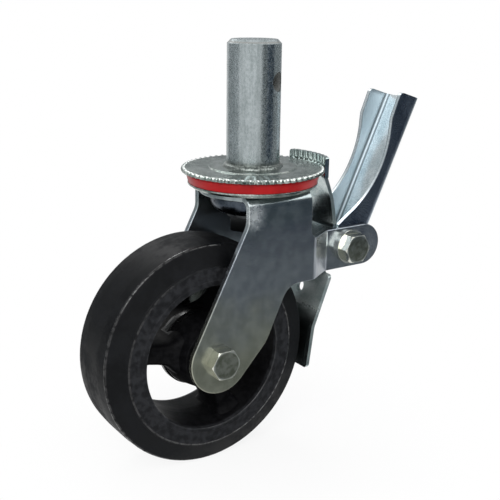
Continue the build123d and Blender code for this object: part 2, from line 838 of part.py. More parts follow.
# Corrugations of the tab, a clearance away from the rim's teeth all along when the brake is on
tooth_pitch = pi * (plate_d - tooth_depth) / tooth_count
tab_front_share = 0.5 + 2 * tooth_clearance / tooth_pitch
tab_numbers = range(-tab_teeth, tab_teeth)


def tab_arc(radius):
    """Arc round the rim across the whole tab."""
    spread = crest_angle(tab_teeth)
    return ThreePointArc(
        polar(radius, -spread, tab_centre),
        polar(radius, 0, tab_centre),
        polar(radius, spread, tab_centre),
    )


with BuildPart() as brake_leaf:
    with BuildSketch(Plane.XZ):
        with BuildLine():
            FilletPolyline(
                (neck_x - neck_slope * leaf_t, neck_z + leaf_t),
                (leaf_face_x(upper_bend_z), upper_bend_z),
                (leaf_face_x(lower_bend_z), lower_bend_z),
                (shoe_face_x(shoe_top_z), shoe_top_z),
                (shoe_face_x(shoe_end_z), shoe_end_z),
                radius=leaf_bend_r,
            )
            offset(amount=leaf_t, side=Side.RIGHT)
        make_face()
    extrude(amount=shoe_w / 2, both=True)
    split(bisect_by=Plane.XY.offset(neck_z), keep=Keep.BOTTOM)
    with BuildSketch(Plane.XY.offset(tab_foot_z)):
        with BuildLine():
            front_arc = tab_arc(tab_inner_r - tooth_depth / 2)
            back_arc = tab_arc(tab_outer_r - tab_back_depth / 2)
            Line(front_arc @ 0, back_arc @ 0)
            Line(front_arc @ 1, back_arc @ 1)
        make_face()
    with BuildSketch(Plane.XY.offset(neck_z)):
        with Locations((neck_x, 0)):
            Rectangle(leaf_t * hypot(1, neck_slope), shoe_w, align=(Align.MAX, Align.CENTER))
    loft(ruled=True)
    with BuildSketch(Plane.XY.offset(tab_foot_z)):
        with BuildLine():
            front = scallops(tab_numbers, tab_inner_r, tooth_depth, tab_front_share, tab_centre)
            back = scallops(tab_numbers, tab_outer_r, tab_back_depth, tab_back_share, tab_centre)
            Line(front[0] @ 0, back[0] @ 0)
            Line(front[-1] @ 1, back[-1] @ 1)
        make_face()
    extrude(amount=tab_top_z - tab_foot_z)
    with BuildSketch(Plane.YZ):
        with BuildLine():
            half_outline = FilletPolyline(
                (0, tab_top_z),
                (tab_w / 2, tab_top_z),
                (tab_w / 2, tab_foot_z),
                (lever_w / 2, ear_top_z),
                (lever_w / 2, shoulder_z),
                (shoe_w / 2, shoulder_z),
                (shoe_w / 2, shoe_end_z),
                (0, shoe_end_z),
                radius=[
                    tab_corner,
                    tab_foot_bend,
                    neck_bend,
                    shoulder_relief,
                    shoulder_corner,
                    shoulder_corner,
                ],
            )
            Line(half_outline @ 1, half_outline @ 0)
        make_face()
        mirror(about=Plane.YZ)
    extrude(amount=pivot_x, mode=Mode.INTERSECT)
    with BuildSketch(Plane.YZ):
        with Locations((0, lower_bend_z - leaf_hole_drop)):
            Circle(leaf_hole_d / 2)
    extrude(amount=pivot_x, mode=Mode.SUBTRACT)
brake_leaf.part.label = "brake_leaf"
export_step(brake_leaf.part, "parts/brake_leaf.step")
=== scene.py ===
# %% [markdown]
# # Scaffold castor
# A castor that plugs into the foot of a scaffold tube. Above is a round steel stem, under it a
# swivel head with a red dust seal, then a pressed steel fork, a black spoked wheel with a rubber
# tyre, and a brake lever that pushes a steel leaf against the wheel and the swivel at once.
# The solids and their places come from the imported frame, in metres. This lesson gives them
# their edges, their castings and weld, and their finishes.

# %% Load the frame
import json
from math import cos, pi, radians, sin, tan

import bmesh
import bpy
from mathutils import Matrix, Vector


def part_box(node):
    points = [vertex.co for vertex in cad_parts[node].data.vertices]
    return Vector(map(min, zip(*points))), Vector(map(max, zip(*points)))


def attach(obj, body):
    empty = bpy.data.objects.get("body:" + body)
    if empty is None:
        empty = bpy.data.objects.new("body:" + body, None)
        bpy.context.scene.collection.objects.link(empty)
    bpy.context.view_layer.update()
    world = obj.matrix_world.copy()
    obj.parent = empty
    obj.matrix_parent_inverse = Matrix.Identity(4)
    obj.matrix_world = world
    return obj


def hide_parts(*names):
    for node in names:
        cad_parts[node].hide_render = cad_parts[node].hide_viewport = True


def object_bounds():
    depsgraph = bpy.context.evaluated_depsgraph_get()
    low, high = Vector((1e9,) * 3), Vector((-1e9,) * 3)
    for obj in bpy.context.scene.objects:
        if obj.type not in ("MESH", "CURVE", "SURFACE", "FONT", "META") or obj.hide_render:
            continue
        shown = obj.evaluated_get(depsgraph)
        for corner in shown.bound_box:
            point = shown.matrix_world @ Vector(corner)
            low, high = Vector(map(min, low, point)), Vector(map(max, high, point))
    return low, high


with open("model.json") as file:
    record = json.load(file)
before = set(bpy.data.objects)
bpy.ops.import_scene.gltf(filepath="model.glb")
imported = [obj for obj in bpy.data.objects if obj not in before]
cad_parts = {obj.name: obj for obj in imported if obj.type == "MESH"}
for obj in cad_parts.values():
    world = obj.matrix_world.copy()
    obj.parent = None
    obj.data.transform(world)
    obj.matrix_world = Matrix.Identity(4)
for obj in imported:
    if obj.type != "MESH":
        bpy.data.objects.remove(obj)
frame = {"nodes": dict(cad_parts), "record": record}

MM = 0.001
scene = bpy.context.scene
scene.view_settings.view_transform = "Standard"
cad_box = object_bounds()
print("frame box", [[round(x, 4) for x in corner] for corner in cad_box])

# %% [markdown]
# ## The camera
# The picture was taken from the near left, a little above the castor. A camera turned round the
# object and then pulled back is easiest to read as a chain of moves: go to the point looked at,
# turn, tilt, roll and step back.

# %% Place the camera
camera_turn = radians(33.994)
camera_rise = radians(16.189)
camera_roll = radians(0.723)
camera_distance = 0.6111
focal_length = 65.17
looked_at = Vector((-0.00142, 0.0, -0.06035))

camera_lens = bpy.data.cameras.new("camera")
camera_lens.lens = focal_length
camera = bpy.data.objects.new("camera", camera_lens)
scene.collection.objects.link(camera)
camera.matrix_world = (
    Matrix.Translation(looked_at)
    @ Matrix.Rotation(-camera_turn, 4, "Z")
    @ Matrix.Rotation(pi / 2 - camera_rise, 4, "X")
    @ Matrix.Rotation(camera_roll, 4, "Z")
    @ Matrix.Translation((0, 0, camera_distance))
)
bpy.context.scene.camera = camera
print("camera at", [round(x, 3) for x in camera.matrix_world.translation])

# %% [markdown]
# ## Shader nodes as sums
# A finish is a small calculation: a cloud of noise, times a strength, plus a base value. Linking
# dozens of Math nodes by hand hides that. One class wraps an output so that Python's own signs
# add the Math nodes, and another adds any other node.


# %% Wire and shading classes
class Wire:
    """An output of a shader node that can stand in a sum or a product."""

    def __init__(self, shading, socket):
        self.shading = shading
        self.socket = socket

    def math(self, operation, first, second):
        return self.shading.node("ShaderNodeMath", {"operation": operation}, {0: first, 1: second})

    def __add__(self, other):
        return self.math("ADD", self, other)

    def __radd__(self, other):
        return self.math("ADD", other, self)

    def __sub__(self, other):
        return self.math("SUBTRACT", self, other)

    def __rsub__(self, other):
        return self.math("SUBTRACT", other, self)

    def __mul__(self, other):
        return self.math("MULTIPLY", self, other)

    def __rmul__(self, other):
        return self.math("MULTIPLY", other, self)


class Shading:
    """A node tree with one method that adds, sets and links any node."""

    def __init__(self, tree):
        self.tree = tree

    def feed(self, socket, value):
        if isinstance(value, Wire):
            self.tree.links.new(value.socket, socket)
        elif socket.type == "RGBA":
            socket.default_value = (*value, 1)
        else:
            socket.default_value = value

    def node(self, kind, settings=None, inputs=None, output=0):
        made = self.tree.nodes.new(kind)
        for name, value in (settings or {}).items():
            setattr(made, name, value)
        for name, value in (inputs or {}).items():
            self.feed(made.inputs[name], value)
        return Wire(self, made.outputs[output])

    def blend(self, mask, first, second):
        """First colour where the mask is 0 and the second where it is 1."""
        return self.node("ShaderNodeMix", {"data_type": "RGBA"}, {0: mask, 6: first, 7: second}, 2)

    def seen_white(self):
        """1 for rays that see the studio itself, from the camera or off metal and gloss."""
        rays = self.node("ShaderNodeLightPath").socket.node
        sight = Wire(self, rays.outputs["Is Camera Ray"])
        for name in ("Is Glossy Ray", "Is Transmission Ray"):
            sight = sight.math("MAXIMUM", sight, Wire(self, rays.outputs[name]))
        return sight


print("node classes ready")

# %% [markdown]
# A finish adds to that the patterns that a maker would name: a cloud of noise, patches, a place
# along an axis, the distance from one, and a band between two of them.

# %% Finish class
noise_detail = 3


class Finish(Shading):
    """One material of the castor. Its patterns lie on Object coordinates, in metres."""

    def __init__(self, name, **constants):
        self.material = bpy.data.materials.new(name)
        self.material.use_nodes = True
        super().__init__(self.material.node_tree)
        self.shader = self.tree.nodes["Principled BSDF"]
        self.place = self.node("ShaderNodeTexCoord", output="Object")
        for name, value in constants.items():
            self.shader.inputs[name.replace("_", " ")].default_value = value

    def noise(self, size, stretch=(1, 1, 1)):
        """Cloudy value round 0.5, in patches of about this size."""
        scale = tuple(1 / (size * along) for along in stretch)
        place = self.node("ShaderNodeMapping", None, {"Vector": self.place, "Scale": scale})
        cloud = {"Vector": place, "Scale": 1, "Detail": noise_detail}
        return self.node("ShaderNodeTexNoise", None, cloud)

    def step(self, value, low, high):
        """0 on low's side, 1 on high's side and smooth between."""
        settings = {"interpolation_type": "SMOOTHSTEP"}
        return self.node("ShaderNodeMapRange", settings, {0: value, 1: low, 2: high})

    def patches(self, cloud, spread):
        """Noise drawn out to patches of 0 and 1, whose edges get softer as the spread grows."""
        return self.step(cloud, 0.5 - spread, 0.5 + spread)

    def band(self, value, low, high, soft):
        """1 between low and high, fading to 0 over a soft margin outside."""
        return self.step(value, low - soft, low) - self.step(value, high, high + soft)

    def along(self, axis):
        """Place along one axis of the frame."""
        return self.node("ShaderNodeSeparateXYZ", None, {0: self.place}, axis)

    def vector(self, operation, *values, output=0):
        """Vector Math on places, which a Math node would turn into one number."""
        settings = {"operation": operation}
        return self.node("ShaderNodeVectorMath", settings, dict(enumerate(values)), output)

    def from_axis(self, centre, across):
        """Distance from an axis through a centre; across is 1 for directions square to the axis."""
        flat = self.vector("MULTIPLY", self.vector("SUBTRACT", self.place, centre), across)
        return self.vector("LENGTH", flat, output="Value")

    def bump(self, height, depth):
        return self.node("ShaderNodeBump", None, {"Height": height, "Distance": depth})

    def coat(self, colour, roughness, normal=None):
        """Feeds what varies over the surface and gives back the finished material."""
        self.feed(self.shader.inputs["Base Color"], colour)
        self.feed(self.shader.inputs["Roughness"], roughness)
        if normal:
            self.feed(self.shader.inputs["Normal"], normal)
        return self.material


print("finish class ready")

# %% [markdown]
# ## The studio
# The castor stands on a white table in front of white. The white is a colour and a Light Path
# switch: rays from the camera and off metal see pure white, while the lamps stay at a plain
# level. Near the castor the table shows less of that white, so that its shadow can be seen.

# %% Set the table
floor_z = cad_box[0][2]
floor_size = 3.0
floor_tone = 0.9
floor_white = 0.62
floor_fade = (0.1, 0.26)


def stand(name, width, height, material, spot, turn=0, lean=0):
    """Flat card with its centre at a spot, facing up before it leans and turns."""
    sheet = bmesh.new()
    bmesh.ops.create_grid(sheet, x_segments=1, y_segments=1, size=0.5)
    bmesh.ops.scale(sheet, vec=(width, height, 1), verts=sheet.verts)
    pose = Matrix.Translation(spot) @ Matrix.Rotation(turn, 4, "Z") @ Matrix.Rotation(lean, 4, "X")
    bmesh.ops.transform(sheet, matrix=pose, verts=sheet.verts)
    mesh = bpy.data.meshes.new(name)
    sheet.to_mesh(mesh)
    sheet.free()
    mesh.materials.append(material)
    card = bpy.data.objects.new(name, mesh)
    scene.collection.objects.link(card)
    return card


def table_white():
    """Pale table whose own white shows to the camera, with the castor's shadow on it."""
    finish = Finish("table_white", Roughness=0.9, Specular_IOR_Level=0.0)
    finish.feed(finish.shader.inputs["Base Color"], (floor_tone,) * 3)
    glow = finish.node("ShaderNodeEmission", None, {"Color": (1, 1, 1), "Strength": 1})
    plain = Wire(finish, finish.shader.outputs[0])
    away = finish.vector("LENGTH", finish.place, output="Value")
    share = finish.step(away, *floor_fade) * (1 - floor_white) + floor_white
    glowing = finish.seen_white() * share
    mixed = finish.node("ShaderNodeMixShader", None, {0: glowing, 1: plain, 2: glow})
    finish.feed(finish.tree.nodes["Material Output"].inputs["Surface"], mixed)
    return finish.material


stand("floor", floor_size, floor_size, table_white(), (0, 0, floor_z))
print("table at", round(floor_z, 4))

# %% [markdown]
# Three soft lamps light the castor: a key from the near left, a fill from the near right and a
# rim lamp from behind and above. The world fills the shadows with an even grey.

# %% Hang the lamps
ambient = 0.5

world = bpy.data.worlds.new("studio")
scene.world = world
world.use_nodes = True
sky = Shading(world.node_tree)
sky_colour = sky.blend(sky.seen_white(), (ambient,) * 3, (1, 1, 1))
sky.feed(world.node_tree.nodes["Background"].inputs["Color"], sky_colour)


def lamp(name, spot, size, power):
    """Soft square lamp that looks at the middle of the castor."""
    light = bpy.data.lights.new(name, "AREA")
    light.size = size
    light.energy = power
    holder = bpy.data.objects.new(name, light)
    scene.collection.objects.link(holder)
    aim = looked_at - Vector(spot)
    holder.matrix_world = Matrix.Translation(spot) @ aim.to_track_quat("-Z", "Y").to_matrix().to_4x4()
    print(f"{name}: {power} W, {size} m wide")


lamp("key_lamp", (-0.75, -0.75, 0.78), 0.75, 9)
lamp("fill_lamp", (0.62, -0.7, 0.62), 0.7, 3)
lamp("rim_lamp", (0.2, 0.9, 0.9), 0.5, 5)

# %% [markdown]
# Zinc is a mirror, so its looks come from what stands round it. Cards beside the table, which
# the camera doesn't see and which throw no shadow, draw the dark bands on the stem and the fork.
# A grey card lying in front keeps the fork's flat sides dark while their rounded edges catch
# the lamps. Only reflections show that one, because diffuse rays pass through it.

# %% Stand the flags
flag_distance = 0.55


def flag_cloth(name, tone):
    """Dull cloth of a flag, in one tone."""
    finish = Finish(name, Specular_IOR_Level=0.0)
    return finish.coat(tone, 0.9)


flag_navy = flag_cloth("flag_navy", (0.07, 0.095, 0.13))
flag_slate = flag_cloth("flag_slate", (0.28, 0.3, 0.305))
flag_mist = flag_cloth("flag_mist", (0.42, 0.44, 0.45))
flag_pale = flag_cloth("flag_pale", (0.55, 0.57, 0.58))

# Each flag has a bearing from straight in front, a width, a height and a cloth.
flags = [
    (38, 0.37, 0.42, flag_navy),
    (8, 0.2, 0.42, flag_slate),
    (91, 0.75, 0.6, flag_mist),
    (-134, 0.8, 0.6, flag_pale),
    (148, 0.4, 0.8, flag_mist),
]
cards = []
for number, (bearing, width, height, cloth) in enumerate(flags):
    turn = radians(bearing)
    spot = (flag_distance * sin(turn), -flag_distance * cos(turn), floor_z + height / 2)
    cards.append(stand(f"flag_{number + 1}", width, height, cloth, spot, turn, pi / 2))

low_spot = (0.17, -0.37, floor_z + 1 * MM)
low_card = stand("low_card", 0.42, 0.62, flag_slate, low_spot, radians(34))
low_card.visible_diffuse = False
cards.append(low_card)
for card in cards:
    card.visible_camera = False
    card.visible_shadow = False
print("cards", len(cards))

# %% [markdown]
# ## Finishes
# Bright zinc plate is a metal with a thin passivated layer: the tint wanders between blue and
# olive, and the gloss is broken by fine grain. Each finish below starts from two tones of one
# metal or rubber, chooses between them by noise at the size of the real marks, and lets the same
# noise move the roughness, so that tone and gloss belong together. Marks that belong to a place,
# such as a bend or a bolt's rim, are found by the distance from the stem, a bolt or the middle.

# %% Distances that the marks follow
stem_r = 17.5 * MM
bolt_centre = {bolt: sum(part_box(bolt), Vector()) / 2 for bolt in ("axle_bolt", "pivot_bolt")}


def from_stem(finish):
    """Distance from the axis of the stem."""
    return finish.from_axis((0, 0, 0), (1, 1, 0))


def from_bolt(finish, bolt):
    """Distance from the axis of a bolt, which lies along y."""
    return finish.from_axis(bolt_centre[bolt], (1, 0, 1))


def from_middle(finish):
    """Distance from the middle plane of the wheel."""
    across = finish.along("Y")
    return across.math("ABSOLUTE", across, 0)


for bolt, centre in bolt_centre.items():
    print(bolt, "centre", [round(x, 4) for x in centre])

# %% [markdown]
# The stem is plated bar stock, streaked along its length. At its foot the weld's heat has left
# grey scale, and the wall of the lock hole is bare and dull. The top plate is duller zinc with
# press marks, and the tops of its knobs carry a painted highlight.


# %% Stem and plate zinc
def rough_zinc():
    """Stem and weld: streaked plating over scale at the foot."""
    finish = Finish("rough_zinc", Metallic=1.0)
    height = finish.along("Z")
    speckle = finish.noise(1.2 * MM, (1, 1, 1.5))
    streak = finish.noise(2.5 * MM, (1, 1, 14))
    cloud = finish.noise(16 * MM)
    tone = finish.patches(speckle * 0.35 + streak * 0.35 + cloud * 0.3, 0.14)
    plated = finish.blend(tone, (0.27, 0.31, 0.315), (0.43, 0.475, 0.49))
    scale = finish.blend(finish.patches(speckle, 0.1), (0.1, 0.115, 0.11), (0.24, 0.265, 0.25))
    clean = finish.step(height + cloud * (3 * MM), 1.2 * MM, 4.8 * MM)
    inside = finish.step(from_stem(finish), stem_r - 0.3 * MM, stem_r - 0.7 * MM)
    below_end = finish.step(height, 78 * MM, 77 * MM)
    bored = inside * below_end
    colour = finish.blend(bored, finish.blend(clean, scale, plated), (0.3, 0.31, 0.3))
    finish.feed(finish.shader.inputs["Metallic"], 1 - bored * 0.6)
    roughness = 0.34 - clean * 0.11 + finish.patches(speckle, 0.15) * 0.09
    return finish.coat(colour, roughness, finish.bump(speckle, 0.035 * MM))


def plate_zinc():
    """Top plate and race: grey-green zinc, with a painted highlight on the knobs' tops."""
    finish = Finish("plate_zinc", Metallic=1.0)
    grain = finish.noise(1.1 * MM)
    cloud = finish.noise(7 * MM)
    tone = finish.patches(grain * 0.45 + cloud * 0.55, 0.14)
    skin = finish.blend(tone, (0.16, 0.2, 0.185), (0.44, 0.475, 0.45))
    at_rim = finish.step(from_stem(finish), 44.6 * MM, 45.4 * MM)
    on_top = finish.step(finish.along("Z"), -3.9 * MM, -3.2 * MM)
    # Painted highlight: the tops of the knobs at the rim are painted near white.
    colour = finish.blend(at_rim * on_top, skin, (0.78, 0.82, 0.8))
    roughness = 0.16 + grain * 0.12
    return finish.coat(colour, roughness, finish.bump(grain * 0.5 + cloud, 0.14 * MM))


print("stem and plate zinc written")

# %% [markdown]
# The fork is dark glossy zinc, painted steel blue at the crown and olive at the legs' ends as a
# painted reflection of the studio. A bright patch where the near leg turns into the crown is a
# painted highlight. The bowl under the crown has the same zinc, painted dark as shade.

# %% Fork and cup zinc
crown_corner = (-20.5 * MM, -33.4 * MM, -27 * MM)
corner_shape = (1, 0.3, 0.8)


def fork_zinc():
    """Fork: tones for the crown, the legs and their ends that paint a reflection, and a painted
    highlight at the corner.
    """
    finish = Finish("fork_zinc")
    height = finish.along("Z") + finish.noise(22 * MM) * (50 * MM)
    patch = finish.patches(finish.noise(8 * MM), 0.16)
    # Painted reflection: the tones turn with height from steel blue at the crown to olive at the
    # legs' ends.
    blue = finish.blend(patch, (0.225, 0.25, 0.28), (0.29, 0.32, 0.345))
    olive = finish.blend(patch, (0.29, 0.3, 0.24), (0.37, 0.38, 0.31))
    legs = finish.blend(finish.step(height, -100 * MM, -45 * MM), olive, blue)
    crown = finish.blend(patch, (0.2, 0.24, 0.25), (0.3, 0.345, 0.35))
    skin = finish.blend(finish.step(height, -20 * MM, 0), legs, crown)
    # Painted highlight: a bright patch where the near leg turns into the crown.
    to_corner = finish.from_axis(crown_corner, corner_shape) + finish.noise(2.5 * MM) * (9 * MM)
    corner_highlight = finish.step(to_corner, 15 * MM, 4 * MM)
    colour = finish.blend(corner_highlight, skin, (0.66, 0.7, 0.71))
    finish.feed(finish.shader.inputs["Metallic"], 0.92 - corner_highlight * 0.36)
    fine = finish.noise(0.7 * MM)
    roughness = 0.13 + finish.noise(7 * MM) * 0.1 + fine * 0.05 + corner_highlight * 0.1
    dents = fine + finish.noise(6 * MM) * 2 + corner_highlight * finish.noise(2 * MM) * 8
    return finish.coat(colour, roughness, finish.bump(dents, 0.03 * MM))


def cup_zinc():
    """Bowl under the crown: the fork's zinc, painted dark as the shade under the crown."""
    finish = Finish("cup_zinc", Metallic=1.0)
    mottle = finish.patches(finish.noise(5 * MM), 0.15)
    # Painted shade: the bowl sits in the shade under the crown.
    colour = finish.blend(mottle, (0.035, 0.045, 0.06), (0.075, 0.09, 0.11))
    return finish.coat(colour, 0.18 + mottle * 0.16, finish.bump(mottle, 0.02 * MM))


print("fork and cup zinc written")

# %% [markdown]
# The lever is a folded channel. Its inside is satin zinc painted pale and its outside painted
# dark, a painted reflection, and a line of painted shade runs along the bend between its back and
# its sides. The leaf is one bent plate, dulled where the press has stretched it.


# %% Lever and leaf zinc
def lever_zinc():
    """Lever: a painted reflection, pale inside and dark outside, and painted shade along the bends,
    by the distance from the middle.
    """
    finish = Finish("lever_zinc", Metallic=1.0)
    fine = finish.noise(0.6 * MM)
    cloud = finish.noise(9 * MM, (1, 1, 2.5))
    tone = finish.patches(cloud * 0.6 + fine * 0.4, 0.12)
    # Painted reflection: the inside is painted pale and the outside dark.
    inner = finish.blend(tone, (0.58, 0.665, 0.7), (0.84, 0.9, 0.92))
    outer = finish.blend(tone, (0.1, 0.125, 0.165), (0.21, 0.245, 0.29))
    across = from_middle(finish)
    # Painted shade along the bend between the back and the sides.
    bend_shade = finish.band(across, 11.8 * MM, 14.6 * MM, 0.6 * MM)
    outside = finish.step(across, 16.6 * MM, 17.2 * MM)
    colour = finish.blend(outside, finish.blend(bend_shade, inner, (0.27, 0.32, 0.35)), outer)
    roughness = 0.2 + fine * 0.14 + bend_shade * 0.12
    return finish.coat(colour, roughness, finish.bump(fine + cloud * 2, 0.03 * MM))


def leaf_zinc():
    """Brake leaf: bright zinc, paler and duller at its bend."""
    finish = Finish("leaf_zinc", Metallic=1.0)
    fine = finish.noise(0.8 * MM)
    cloud = finish.noise(10 * MM, (1, 2, 1))
    tone = finish.patches(cloud * 0.7 + fine * 0.3, 0.14)
    colour = finish.blend(tone, (0.31, 0.38, 0.38), (0.56, 0.62, 0.61))
    height = finish.along("Z") + cloud * (8 * MM)
    bent = finish.band(height, -94 * MM, -76 * MM, 14 * MM)
    finish.feed(finish.shader.inputs["Metallic"], 1 - bent * 0.4)
    roughness = 0.15 + fine * 0.1 + bent * 0.1
    return finish.coat(colour, roughness, finish.bump(fine + cloud * 2, 0.03 * MM))


print("lever and leaf zinc written")

# %% [markdown]
# Bolts, nuts and washers are bright plating with an olive tint. The ends of the bolt heads are
# dull and their sides bright, and the kingpin's nut and washer under the crown are painted dark
# as shade. Balls and rollers are ground steel.


# %% Fastener zinc and ball steel
def bright_zinc():
    """Bolts, nuts and washers: dull ends, bright sides, and painted shade round the kingpin."""
    finish = Finish("bright_zinc", Metallic=1.0)
    fine = finish.noise(0.5 * MM)
    cloud = finish.noise(4 * MM)
    dull = finish.blend(finish.patches(cloud, 0.15), (0.2, 0.21, 0.165), (0.36, 0.37, 0.32))
    from_axle = from_bolt(finish, "axle_bolt")
    from_nearest = from_axle.math("MINIMUM", from_axle, from_bolt(finish, "pivot_bolt"))
    side = finish.step(from_nearest, 8.4 * MM, 9 * MM)
    # Painted shade: near the stem's axis, under the crown, the kingpin's nut and washer are painted
    # almost black.
    clear_of_crown_shade = finish.step(from_stem(finish), 20 * MM, 24 * MM)
    plated = finish.blend(side, dull, (0.62, 0.63, 0.57))
    colour = finish.blend(clear_of_crown_shade, (0.045, 0.048, 0.05), plated)
    return finish.coat(colour, 0.13 + fine * 0.1, finish.bump(fine, 0.02 * MM))


def ball_steel():
    """Balls and rollers: ground steel with a film of grease."""
    finish = Finish("ball_steel", Metallic=1.0)
    mottle = finish.noise(2.5 * MM)
    colour = finish.blend(finish.patches(mottle, 0.1), (0.5, 0.5, 0.5), (0.66, 0.66, 0.65))
    return finish.coat(colour, 0.08 + mottle * 0.12)


print("fastener zinc and ball steel written")

# %% [markdown]
# The other three are not plated. The seal is moulded plastic. The tyre is rubber with a dusty
# bloom, rubbed shiny along its shoulder and its edge at the rim. The core is cast iron under
# black paint, with dust on the rim's face and gloss on the hub's ridge and the bore's lip.


# %% Plastic, rubber and paint
def seal_plastic():
    """Dust seal: red plastic with a soft gloss."""
    finish = Finish("seal_plastic", Specular_IOR_Level=0.2)
    cloud = finish.noise(12 * MM)
    fine = finish.noise(0.8 * MM)
    colour = finish.blend(finish.patches(cloud, 0.2), (0.34, 0.005, 0.007), (0.45, 0.009, 0.011))
    return finish.coat(colour, 0.28 + fine * 0.14, finish.bump(fine, 0.02 * MM))


def tyre_rubber():
    """Tyre: black rubber, a little grey where dust and handling have dulled it."""
    finish = Finish("tyre_rubber", Specular_IOR_Level=0.1, Coat_Roughness=0.16)
    bloom = finish.noise(16 * MM)
    grain = finish.noise(0.5 * MM)
    scuff = finish.noise(3 * MM)
    dull = finish.step(bloom * 0.7 + scuff * 0.3, 0.4, 0.64)
    colour = finish.blend(dull, (0.0036, 0.004, 0.0048), (0.0085, 0.0092, 0.0105))
    reach = from_bolt(finish, "axle_bolt")
    at_edge = finish.band(from_middle(finish), 17.4 * MM, 18.8 * MM, 0.2 * MM)
    shoulder = at_edge * finish.step(reach, 72.2 * MM, 72.7 * MM)
    rim_edge = finish.band(reach, 59.4 * MM, 60.8 * MM, 0.3 * MM)
    worn = (shoulder + rim_edge) * finish.step(scuff, 0.3, 0.6)
    finish.feed(finish.shader.inputs["Coat Weight"], worn)
    return finish.coat(colour, 0.48 + dull * 0.24, finish.bump(grain + scuff * 0.5, 0.04 * MM))


def core_paint():
    """Wheel core: cast iron under thin black paint."""
    finish = Finish("core_paint", Specular_IOR_Level=0.05, Coat_Roughness=0.2)
    sand = finish.noise(0.9 * MM)
    lump = finish.noise(4 * MM)
    tone = finish.patches(lump, 0.15)
    black = finish.blend(tone, (0.003, 0.003, 0.0036), (0.007, 0.007, 0.008))
    dusty = finish.blend(tone, (0.012, 0.0125, 0.014), (0.026, 0.027, 0.03))
    across = from_middle(finish)
    reach = from_bolt(finish, "axle_bolt")
    at_face = finish.step(across, 22.2 * MM, 23.6 * MM)
    at_rim = finish.step(reach, 44 * MM, 47 * MM)
    colour = finish.blend(at_face * at_rim, black, dusty)
    near_middle = finish.step(across, 6 * MM, 5 * MM)
    ridge = finish.band(reach, 24.4 * MM, 26.2 * MM, 0.3 * MM) * near_middle
    lip = finish.band(reach, 48.4 * MM, 49.4 * MM, 0.2 * MM)
    finish.feed(finish.shader.inputs["Coat Weight"], ridge * 0.6 + lip * 0.7)
    return finish.coat(colour, 0.42 + sand * 0.2, finish.bump(sand * 0.7 + lump, 0.12 * MM))


finishes = {
    "rough_zinc": rough_zinc(),
    "plate_zinc": plate_zinc(),
    "fork_zinc": fork_zinc(),
    "bright_zinc": bright_zinc(),
    "ball_steel": ball_steel(),
    "seal_plastic": seal_plastic(),
    "core_iron": core_paint(),
    "tyre_rubber": tyre_rubber(),
    "lever_zinc": lever_zinc(),
    "leaf_zinc": leaf_zinc(),
}
print("finishes", len(finishes))

# %% [markdown]
# ## Putting a piece in place
# Every new mesh goes through one function, which names it, gives it its finish and says which
# body of the castor it rides on. A live Bevel modifier rounds its sharp edges: a real sheet or
# forging has no knife edge, and the thin bright line along it is the light that the round
# catches.

# %% Helpers that finish a piece
bodies = frame["record"]["behaviour"]["bodies"]
body_of = {node: body for body, nodes in bodies.items() for node in nodes}
edge_angle = radians(32)
edge_segments = 2
flat_angle = radians(0.3)
weld_distance = 0.001 * MM


def place(name, shape, body, slot, edge=0.0):
    """Makes a mesh object of a bmesh, with rounded edges, its finish and its body."""
    mesh = bpy.data.meshes.new(name)
    shape.to_mesh(mesh)
    shape.free()
    mesh.shade_smooth()
    mesh.set_sharp_from_angle(angle=edge_angle)
    mesh.materials.append(finishes[slot])
    piece = bpy.data.objects.new(name, mesh)
    scene.collection.objects.link(piece)
    if edge:
        round_over = piece.modifiers.new("round_over", "BEVEL")
        round_over.width = edge
        round_over.segments = edge_segments
        round_over.limit_method = "ANGLE"
        round_over.angle_limit = edge_angle
        round_over.harden_normals = True
        weights = piece.modifiers.new("flat_faces_first", "WEIGHTED_NORMAL")
        weights.keep_sharp = True
    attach(piece, body)
    print(f"{name}: {len(mesh.polygons)} faces on {body}")
    return piece


def copy_of(node):
    """Bmesh of a CAD node, its loose triangles merged back into whole faces."""
    shape = bmesh.new()
    shape.from_mesh(frame["nodes"][node].data)
    for face in shape.faces:
        face.material_index = 0
    bmesh.ops.remove_doubles(shape, verts=shape.verts, dist=weld_distance)
    bmesh.ops.dissolve_limit(shape, angle_limit=flat_angle, verts=shape.verts, edges=shape.edges)
    return shape


def soften(node, slot, edge):
    """Replaces a node by a copy of itself with rounded edges."""
    piece = place(f"{node}_rounded", copy_of(node), body_of[node], slot, edge)
    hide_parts(node)
    return piece


# %% [markdown]
# ## Sheet metal and turned parts
# The fork, lever, leaf, cup, washers and fasteners already have their true form in the frame.
# They only need their edges broken, each by as much as its trade does: blanked sheet keeps a
# tight edge, a forged bolt a softer one.

# %% Round the edges of the plated parts
edge_rounds = {
    "stem": ("rough_zinc", 0.4),
    "kingpin": ("bright_zinc", 0.3),
    "race_dish": ("plate_zinc", 0.25),
    "fork": ("fork_zinc", 0.7),
    "lower_race_cup": ("fork_zinc", 0.3),
    "kingpin_washer": ("bright_zinc", 0.2),
    "kingpin_nut": ("bright_zinc", 0.3),
    "thrust_washers": ("bright_zinc", 0.2),
    "axle_bolt": ("bright_zinc", 0.25),
    "axle_nut": ("bright_zinc", 0.25),
    "pivot_bolt": ("bright_zinc", 0.25),
    "pivot_nut": ("bright_zinc", 0.25),
    "pivot_washers": ("bright_zinc", 0.2),
    "brake_lever": ("lever_zinc", 0.4),
    "brake_leaf": ("leaf_zinc", 0.3),
}
softened = {node: soften(node, slot, edge * MM) for node, (slot, edge) in edge_rounds.items()}

# The cup keeps the fork's slot and wears its own version of that zinc, painted dark as shade.
softened["lower_race_cup"].data.materials[0] = cup_zinc()

# %% [markdown]
# Balls, rollers, cage and sleeves are ground or turned and mostly hidden, so the nodes
# themselves stay and only take their finish.

